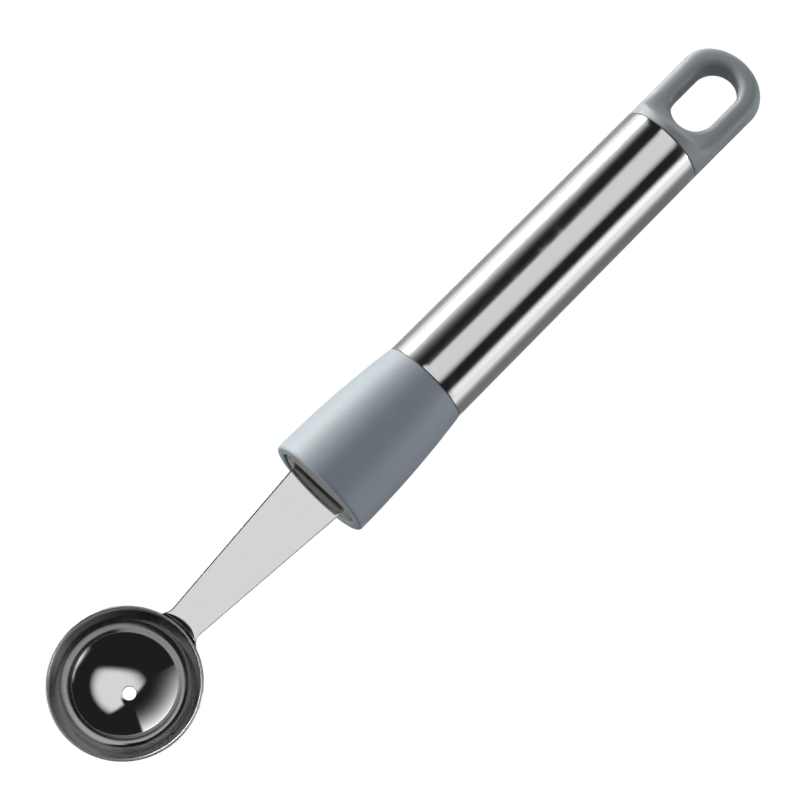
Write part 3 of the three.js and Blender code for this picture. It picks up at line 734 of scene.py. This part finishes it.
def plug_grid(sizes):
    """The plug as a ring of outlines: the pocket, a rounded rectangle |y/a|^10 + |z/b|^10 = 1, grows over its
    rounded edge and across the face to the head's rounded edge, then the head, the stem and the slot close
    the ring."""
    squareness, edge_rows, face_rows = 10, 8, 14
    turn = np.linspace(0, 2 * np.pi, PLUG_COLUMNS, endpoint=False)
    cos, sin = np.cos(turn), np.sin(turn)
    face, back, head_end = PLUG_LOW.x, PLUG_HIGH.x, PLUG_LOW.x + sizes.head_length
    pocket_end = face + sizes.pocket_depth

    def slot(width, height, grown):
        a, b = width / 2 + grown, height / 2 + grown
        y = a * np.sign(cos) * np.abs(cos) ** (2 / squareness)
        z = b * np.sign(sin) * np.abs(sin) ** (2 / squareness)
        return np.stack([y, z], axis=-1)

    def circle(radius):
        return np.stack([radius * cos, radius * sin], axis=-1)

    edge, rim = sizes.pocket_edge, sizes.outer_edge
    face_radius = sizes.head_radius - rim
    pocket = (sizes.pocket_width, sizes.pocket_height)
    through = slot(sizes.slot_width, sizes.slot_height, 0)
    quarter = np.linspace(0, math.pi / 2, edge_rows)
    rings = [(pocket_end, slot(*pocket, 0))]
    rings += [(face + edge * (1 - math.sin(q)), slot(*pocket, edge * (1 - math.cos(q)))) for q in quarter]
    inner, outer = slot(*pocket, edge), circle(face_radius)
    rings += [(face, inner + (outer - inner) * s) for s in np.linspace(0, 1, face_rows)[1:]]
    rings += [(face + rim * (1 - math.cos(q)), circle(face_radius + rim * math.sin(q))) for q in quarter[1:]]
    rings += [(head_end, circle(sizes.head_radius)), (head_end, circle(sizes.stem_radius))]
    rings += [(back, circle(sizes.stem_radius)), (back, through), (pocket_end, through)]
    return np.stack([np.stack([x + 0 * turn, yz[:, 0], AXIS_Z + yz[:, 1]], axis=-1) for x, yz in rings])


def tube_radius(x):
    """The tube's outer radius, which falls evenly from the ferrule to the end cap."""
    back = bpy.context.scene.baller_tube.back_diameter / 2
    return TUBE_RADIUS + (back - TUBE_RADIUS) * (x - TUBE_LOW.x) / (TUBE_HIGH.x - TUBE_LOW.x)


def barrel_radius(x):
    """A spigot's radius between its ribs."""
    return tube_radius(x) - bpy.context.scene.baller_tube.wall - bpy.context.scene.baller_spigots.clearance


def ferrule_grid(sizes):
    """The ferrule: lip, rounded mouth edge, one long arc that is parallel to the axis at the mouth, tail,
    ribbed spigot, bore and counterbore, as a closed profile turned round the handle's axis."""
    plug, chamfer = bpy.context.scene.baller_plug, bpy.context.scene.baller_spigots.chamfer
    mouth, joint = FERRULE_LOW.x, FERRULE_LOW.x + sizes.length
    end = joint + sizes.spigot_length
    seat = PLUG_LOW.x + plug.head_length + SEAT_GAP
    counterbore = MOUTH_RADIUS - sizes.lip
    tail = TUBE_RADIUS + sizes.step
    mouth_edge, inner_edge, tail_edge = sizes.mouth_edge, sizes.inner_edge, sizes.tail_edge
    sweep, fall = joint - mouth - mouth_edge, MOUTH_RADIUS - tail
    radius = (sweep**2 + fall**2) / (2 * fall)
    long_steps, edge_steps = 120, 12
    start = mouth + mouth_edge
    long_arc = arc((MOUTH_RADIUS - radius, start), radius, 0, math.asin(sweep / radius), long_steps)
    turned = arc((MOUTH_RADIUS - mouth_edge, start), mouth_edge, -math.pi / 2, 0, edge_steps)
    barrel, barrel_end = barrel_radius(joint), barrel_radius(end)
    bore = barrel_end - sizes.spigot_wall
    sharp = HAIR / 5
    runs = [
        np.concatenate([line((counterbore + inner_edge, mouth), turned[0], 4)[:-1], turned, long_arc[1:-1]]),
        line((tail - tail_edge, joint), (barrel + sharp, joint), 3),
        line((barrel, joint + sharp), (barrel_end, end - chamfer - sharp), 12),
        line((barrel_end - chamfer + sharp, end), (bore + sharp, end), 2),
        line((bore, end - sharp), (bore, seat + sharp), 2),
        line((bore + sharp, seat), (counterbore - sharp, seat), 2),
        line((counterbore, seat - sharp), (counterbore, mouth + inner_edge), 4),
    ]
    corners = [
        (tail, joint),
        (barrel, joint),
        (barrel_end - chamfer / 2, end - chamfer / 2),
        (bore, end),
        (bore, seat),
        (counterbore, seat),
        (counterbore, mouth),
    ]
    profile = outline_of(runs, corners)
    out, along = profile.T
    on_barrel = (along > joint + sharp) & (along < end - chamfer) & (out > bore + chamfer)
    return ribbed(revolve(profile, FERRULE_COLUMNS), on_barrel)


def tube_grid(sizes):
    """The tube: its wall's section with rounded ends, turned round the handle's axis."""
    start, end, edge = TUBE_LOW.x, TUBE_HIGH.x, sizes.edge

    def at(x, depth):
        return (tube_radius(x) - depth, x)

    runs = [
        line(at(start + edge, 0), at(end - edge, 0), 60),
        line(at(end, edge), at(end, sizes.wall - edge), 2),
        line(at(end - edge, sizes.wall), at(start + edge, sizes.wall), 6),
        line(at(start, sizes.wall - edge), at(start, edge), 2),
    ]
    profile = outline_of(runs, [at(end, 0), at(end, sizes.wall), at(start, sizes.wall), at(start, 0)])
    return revolve(profile, TUBE_COLUMNS)


def cap_half_width(sizes, u):
    """Half the cap's width at a distance from the tube: an S-shaped flare, then half an ellipse."""
    collar, wide, nose_start = tube_radius(TUBE_HIGH.x), sizes.width / 2, sizes.length - sizes.nose
    t = np.clip(u / nose_start, 0, 1)
    flare = collar + (wide - collar) * t * t * (3 - 2 * t)
    past = np.clip((u - nose_start) / sizes.nose, 0, 1)
    return np.where(u < nose_start, flare, wide * np.sqrt(1 - past**2))


def cap_height(sizes, u, y):
    """Height of the cap's upper face over its middle plane: the round body sqrt(w^2 - y^2) or the hollow's
    floor, an arc and a steep line down to the flat, whichever is lower, with a soft edge between them, less
    the rounding of the eye's edge by the distance from the eye's outline."""
    rim = np.clip(sizes.collar_edge - u, 0, sizes.collar_edge)
    body_width = cap_half_width(sizes, u) - sizes.collar_edge + np.sqrt(sizes.collar_edge**2 - rim**2)
    body = np.sqrt(np.maximum(0, body_width**2 - y**2))
    back = np.maximum(0, sizes.hollow_end - u)
    on_arc = np.minimum(back, sizes.hollow_radius * math.sin(sizes.hollow_angle))
    rise = sizes.hollow_radius - np.sqrt(sizes.hollow_radius**2 - on_arc**2)
    floor = sizes.thickness / 2 + rise + (back - on_arc) * math.tan(sizes.hollow_angle)
    near = np.maximum(0, sizes.edge_blend - np.abs(body - floor))
    soft = np.minimum(body, floor) - near**2 / (4 * sizes.edge_blend)
    height = np.minimum(body, np.maximum(0, soft))
    eye_end = sizes.length - sizes.nose_bar
    eye_half = sizes.width / 2 - sizes.side_bar
    du = np.abs(u - (sizes.eye_start + eye_end) / 2) - (eye_end - sizes.eye_start) / 2 + eye_half
    away = np.hypot(np.maximum(du, 0), y) - eye_half
    inset = np.clip(sizes.eye_edge - away, 0, sizes.eye_edge)
    return np.maximum(0, height - sizes.eye_edge + np.sqrt(sizes.eye_edge**2 - inset**2))


def cap_grid(sizes):
    """The cap: lines from the eye's outline out to the plan's outline, point for point, each lifted to the
    face's height and mirrored below, as a closed ring of sections."""
    end_count, side_count, edge_count, face_count = 56, 26, 12, 44
    eye_half, eye_end = sizes.width / 2 - sizes.side_bar, sizes.length - sizes.nose_bar
    near = arc((sizes.eye_start + eye_half, 0), eye_half, -math.pi / 2, -1.5 * math.pi, end_count)
    far = arc((eye_end - eye_half, 0), eye_half, math.pi / 2, -math.pi / 2, end_count)
    sides = [line(near[-1], far[0], side_count)[1:-1], line(far[-1], near[0], side_count)[1:-1]]
    eye = np.concatenate([near, sides[0], far, sides[1]])

    nose_start, collar = sizes.length - sizes.nose, tube_radius(TUBE_HIGH.x)
    joint_y = -collar * np.cos(np.linspace(0, math.pi, end_count, endpoint=False))
    joint = np.stack([0 * joint_y, joint_y], axis=-1)
    flank_u = np.linspace(0, nose_start, side_count, endpoint=False)
    flank = np.stack([flank_u, cap_half_width(sizes, flank_u)], axis=-1)
    turn = math.pi / 2 - np.linspace(0, math.pi, end_count, endpoint=False)
    nose = np.stack([nose_start + sizes.nose * np.cos(turn), sizes.width / 2 * np.sin(turn)], axis=-1)
    back_u = nose_start - flank_u
    back = np.stack([back_u, -cap_half_width(sizes, back_u)], axis=-1)
    outline = np.concatenate([joint, flank, nose, back])

    span = np.linalg.norm(outline - eye, axis=1)[:, None]
    fillet = sizes.eye_edge * (1 - np.cos(np.linspace(0, math.pi / 2, edge_count + 1)[:-1]))
    share_out = 1 - (1 - np.linspace(0, 1, face_count)) ** 2
    beyond = sizes.eye_edge + (span - sizes.eye_edge) * share_out
    distance = np.concatenate([fillet + 0 * span, beyond], axis=1)
    plan = eye[:, None] + (outline - eye)[:, None] * (distance / span)[..., None]
    height = cap_height(sizes, plan[..., 0], plan[..., 1])
    below = slice(None, None, -1)
    u = np.concatenate([eye[:, :1], plan[..., 0], plan[:, below, 0]], axis=1)
    y = np.concatenate([eye[:, 1:], plan[..., 1], plan[:, below, 1]], axis=1)
    z = np.concatenate([0 * eye[:, :1], height, -height[:, below]], axis=1)
    return np.stack([CAP_HIGH.x - sizes.length + u, y, AXIS_Z + z], axis=-1)


def cap_spigot_grid(sizes):
    """The cap's hollow, ribbed spigot: a cup's profile from axis to axis, turned round the handle's axis."""
    chamfer = bpy.context.scene.baller_spigots.chamfer
    joint = CAP_HIGH.x - sizes.length
    root, end = joint + SPIGOT_OVERLAP, joint - sizes.spigot_length
    barrel, barrel_end = barrel_radius(TUBE_HIGH.x), barrel_radius(end)
    hollow, floor = barrel_end - sizes.spigot_wall, joint - sizes.spigot_wall
    profile = np.concatenate(
        [
            line((0, root), (barrel, root), 4),
            line((barrel, root - HAIR), (barrel_end, end + chamfer), 12),
            line((barrel_end - chamfer, end), (hollow, end), 2),
            line((hollow, end + HAIR), (hollow, floor - HAIR), 4),
            line((hollow - HAIR, floor), (0, floor), 4),
        ]
    )
    out, along = profile.T
    on_barrel = (out >= barrel) & (along < root)
    return ribbed(revolve(profile, SPIGOT_COLUMNS), on_barrel)


class BALLER_OT_scoop(bpy.types.Operator):
    """Builds the scoop."""

    bl_idname = "baller.scoop"
    bl_label = "Scoop"

    def execute(self, context):
        scene = context.scene
        material = polished_scoop(scene.baller_finishes)
        shells = [(scoop_grid(scene.baller_scoop), "ring")]
        build_piece("scoop", shells, material, "scoop_bowl")
        return {"FINISHED"}


class BALLER_OT_shank(bpy.types.Operator):
    """Builds the shank with its tongue and tang."""

    bl_idname = "baller.shank"
    bl_label = "Shank"

    def execute(self, context):
        scene = context.scene
        material = polished_shank(scene.baller_finishes)
        shells = [(shank_grid(scene.baller_shank), "lids")]
        build_piece("shank_sheet", shells, material, "shank")
        return {"FINISHED"}


class BALLER_OT_ferrule(bpy.types.Operator):
    """Builds the ferrule and the plug in its mouth."""

    bl_idname = "baller.ferrule"
    bl_label = "Ferrule and plug"

    def execute(self, context):
        scene, finish = context.scene, context.scene.baller_finishes
        plastic = moulded_plastic("ferrule_plastic", finish.ferrule, finish.plastic_roughness, finish)
        shells = [(ferrule_grid(scene.baller_ferrule), "ring")]
        build_piece("ferrule_collar", shells, plastic, "ferrule")
        pale = moulded_plastic("plug_plastic", finish.plug, finish.plug_roughness, finish)
        shells = [(plug_grid(scene.baller_plug), "ring")]
        build_piece("mouth_plug", shells, pale, "tang_plug")
        return {"FINISHED"}


class BALLER_OT_tube(bpy.types.Operator):
    """Builds the handle's tube."""

    bl_idname = "baller.tube"
    bl_label = "Tube"

    def execute(self, context):
        scene = context.scene
        material = drawn_tube(scene.baller_finishes)
        shells = [(tube_grid(scene.baller_tube), "ring")]
        build_piece("tube", shells, material, "handle_tube")
        return {"FINISHED"}


class BALLER_OT_end_cap(bpy.types.Operator):
    """Builds the end cap with its eye and its spigot."""

    bl_idname = "baller.end_cap"
    bl_label = "End cap"

    def execute(self, context):
        scene, finish = context.scene, context.scene.baller_finishes
        plastic = moulded_plastic("end_cap_plastic", finish.cap, finish.plastic_roughness, finish)
        shells = [(cap_grid(scene.baller_cap), "ring"), (cap_spigot_grid(scene.baller_cap), "poles")]
        build_piece("eye_cap", shells, plastic, "end_cap")
        return {"FINISHED"}


class BALLER_OT_stage(bpy.types.Operator):
    """Sets the camera, the floor that the tool rests on, and the studio's light."""

    bl_idname = "baller.stage"
    bl_label = "Stage"

    def execute(self, context):
        settings = context.scene.baller_stage
        context.scene.view_settings.view_transform = "Standard"
        self.set_camera(context.scene, settings)
        self.lay_floor(context.scene, settings)
        self.light_studio(context.scene, settings)
        return {"FINISHED"}

    def set_camera(self, scene, settings):
        """A long lens, turned about its aim."""
        turn, tilt = settings.azimuth, settings.elevation
        flat = math.cos(tilt)
        direction = Vector((math.sin(turn) * flat, -math.cos(turn) * flat, math.sin(tilt)))
        data = bpy.data.cameras.new("camera")
        data.lens = settings.lens
        data.sensor_width = CAMERA_FRAME
        data.clip_end = CAMERA_REACH
        camera = bpy.data.objects.new("camera", data)
        camera.location = Vector(settings.aim) + direction * settings.distance
        facing = direction.to_track_quat("Z", "Y") @ Quaternion((0.0, 0.0, 1.0), settings.roll)
        camera.rotation_euler = facing.to_euler()
        scene.collection.objects.link(camera)
        scene.camera = camera

    def lay_floor(self, scene, settings):
        """A plane through the ferrule's lowest edge and the tube's lowest end, on which the tool rests."""
        back = scene.baller_tube.back_diameter / 2
        edge_x = FERRULE_LOW.x + scene.baller_ferrule.mouth_edge
        slope = (AXIS_Z - back) / (TUBE_HIGH.x - edge_x)
        corner = np.array([-1.0, 1.0]) * settings.floor_size
        x, y = np.meshgrid(corner, corner)
        points = np.stack([x, y, slope * (x - edge_x)], axis=-1).reshape(-1, 3)
        mesh = bpy.data.meshes.new("floor")
        mesh.from_pydata(points, [], [[0, 1, 3, 2]])
        mesh.materials.append(self.floor_material(settings))
        floor = bpy.data.objects.new("floor", mesh)
        scene.collection.objects.link(floor)

    def floor_material(self, settings):
        """A matte white. The camera sees it white with a little of the tool's shadow. So does the steel, but
        for the real shading close to the tool."""
        material, tree = new_material("white_floor")
        rays = Wire.node(tree, "ShaderNodeLightPath").socket.node.outputs
        camera = Wire(rays["Is Camera Ray"])
        mirror = Wire(rays["Is Glossy Ray"]) + Wire(rays["Is Transmission Ray"])
        x, y, _ = object_position(tree).split()
        beyond = (x.math("ABSOLUTE", x) - CAD_BOX[1][0]).at_least(0.0)
        away = (beyond**2.0 + y**2.0) ** 0.5
        brightness = camera * settings.floor_white + mirror * settings.floor_mirrored
        white = vector_of(tree, brightness, brightness, brightness)
        glow = Wire.node(tree, "ShaderNodeEmission", {}, {"Color": white, "Strength": 1.0})
        matte = Wire.node(tree, "ShaderNodeBsdfDiffuse", {}, {"Color": (*settings.floor, 1.0)})
        clear = away.rise(settings.shade_start, settings.shade_end)
        seen = camera * (1.0 - settings.floor_shadow) + mirror * clear
        close_surface(tree, "ShaderNodeMixShader", {0: seen, 1: matte, 2: glow})
        return material

    def light_studio(self, scene, settings):
        """Light by direction: a soft panel above, a large softbox on the +Y side that brightens towards the
        horizon, a fill on the -Y side, and a dark room between them. The numbers are where a light's edge
        begins and ends: the direction's height, or where it meets a plane a unit above or beside the tool."""
        world = bpy.data.worlds.new("studio")
        world.use_nodes = True
        tree = world.node_tree
        tree.nodes.clear()
        x, y, z = Wire.node(tree, "ShaderNodeTexCoord", {}, {}, "Generated").split()

        # The panel is an oval with a +Y edge that is straight but for a step, and a slanting corner
        lowest, nearest = 0.05, 0.02
        middle, half_length, half_width, step, lean = 0.27, 0.613, 0.73, 0.155, 1.33
        up = z.at_least(lowest)
        across, aside = x / up, y / up
        oval = ((across - middle) / half_length) ** 2.0 + (aside / half_width) ** 2.0
        edge = aside + step * across.rise(0.16, 0.24) * across.rise(0.38, 0.29)
        cut = (aside + lean * across).rise(-0.72, -0.36)
        panel = oval.rise(1.7, 0.35) * edge.rise(0.39, 0.27) * cut * z.rise(0.2, 0.4)

        # The softbox grows brighter towards +X, where a lamp stands low in it, over a strip along its foot
        dim, falloff = 0.1, 1.3
        along = x / y.at_least(nearest)
        sector = along.rise(-1.77, -1.57) * along.rise(0.48, 0.40) * y.rise(nearest, 0.06)
        brightest = dim + (1.0 - dim) * along.rise(-1.675, 0.437)
        softbox = sector * z.rise(0.9, -0.03) ** falloff * brightest * settings.softbox
        lamp = z.rise(0.34, 0.2) * along.rise(-0.5, 0.437) * settings.low_softbox
        warm = sector * (lamp + z.rise(0.22, 0.1) * settings.low_strip)

        # The fill is a window whose top falls towards +X, with a strip at its foot there
        droop = 0.06
        opposite = -y
        along = x / opposite.at_least(nearest)
        window = along.rise(-0.07, 0.33) * along.rise(1.2, 0.7)
        strip = z.rise(0.16, 0.08) * along.rise(0.45, 0.6) * settings.low_fill
        sloped = (z + droop * along.rise(0.3, 0.7)).rise(0.41, 0.18)
        fill = opposite.rise(0.05, 0.15) * window * (sloped * settings.fill + strip)

        light = settings.room + panel * settings.panel + softbox + fill
        seen = Wire.node(tree, "ShaderNodeLightPath", {}, {}, "Is Camera Ray")
        mixed = [seen + (1.0 - seen) * (light + warm * tint) for tint in settings.low_tint]
        inputs = {"Color": vector_of(tree, *mixed), "Strength": 1.0}
        close_surface(tree, "ShaderNodeBackground", inputs, "ShaderNodeOutputWorld")
        scene.world = world


class BALLER_PT_panel(bpy.types.Panel):
    """Lists the tool's pieces and their settings."""

    bl_idname = "BALLER_PT_panel"
    bl_label = "Melon Baller"
    bl_space_type = "VIEW_3D"
    bl_region_type = "UI"
    bl_category = "Melon Baller"

    def draw(self, context):
        for operator in OPERATORS:
            self.layout.operator(operator.bl_idname)
        for name in GROUPS:
            settings = getattr(context.scene, name)
            box = self.layout.box()
            box.label(text=name.replace("baller_", "").replace("_", " ").capitalize())
            for key in settings.__annotations__:
                box.prop(settings, key)


GROUPS = {
    "baller_scoop": ScoopSizes,
    "baller_shank": ShankSizes,
    "baller_plug": PlugSizes,
    "baller_ferrule": FerruleSizes,
    "baller_tube": TubeSizes,
    "baller_cap": CapSizes,
    "baller_spigots": SpigotSizes,
    "baller_finishes": Finishes,
    "baller_stage": StageSettings,
}
OPERATORS = (
    BALLER_OT_stage,
    BALLER_OT_scoop,
    BALLER_OT_shank,
    BALLER_OT_ferrule,
    BALLER_OT_tube,
    BALLER_OT_end_cap,
)


def register():
    for group in GROUPS.values():
        bpy.utils.register_class(group)
    for cls in (*OPERATORS, BALLER_PT_panel):
        bpy.utils.register_class(cls)
    for name, group in GROUPS.items():
        setattr(bpy.types.Scene, name, bpy.props.PointerProperty(type=group))


def unregister():
    for name in GROUPS:
        delattr(bpy.types.Scene, name)
    for cls in (BALLER_PT_panel, *reversed(OPERATORS), *reversed(GROUPS.values())):
        bpy.utils.unregister_class(cls)


def main():
    """Builds the stage and every piece."""
    register()
    bpy.ops.baller.stage()
    bpy.ops.baller.scoop()
    bpy.ops.baller.shank()
    bpy.ops.baller.ferrule()
    bpy.ops.baller.tube()
    bpy.ops.baller.end_cap()


if __name__ == "__main__":
    main()
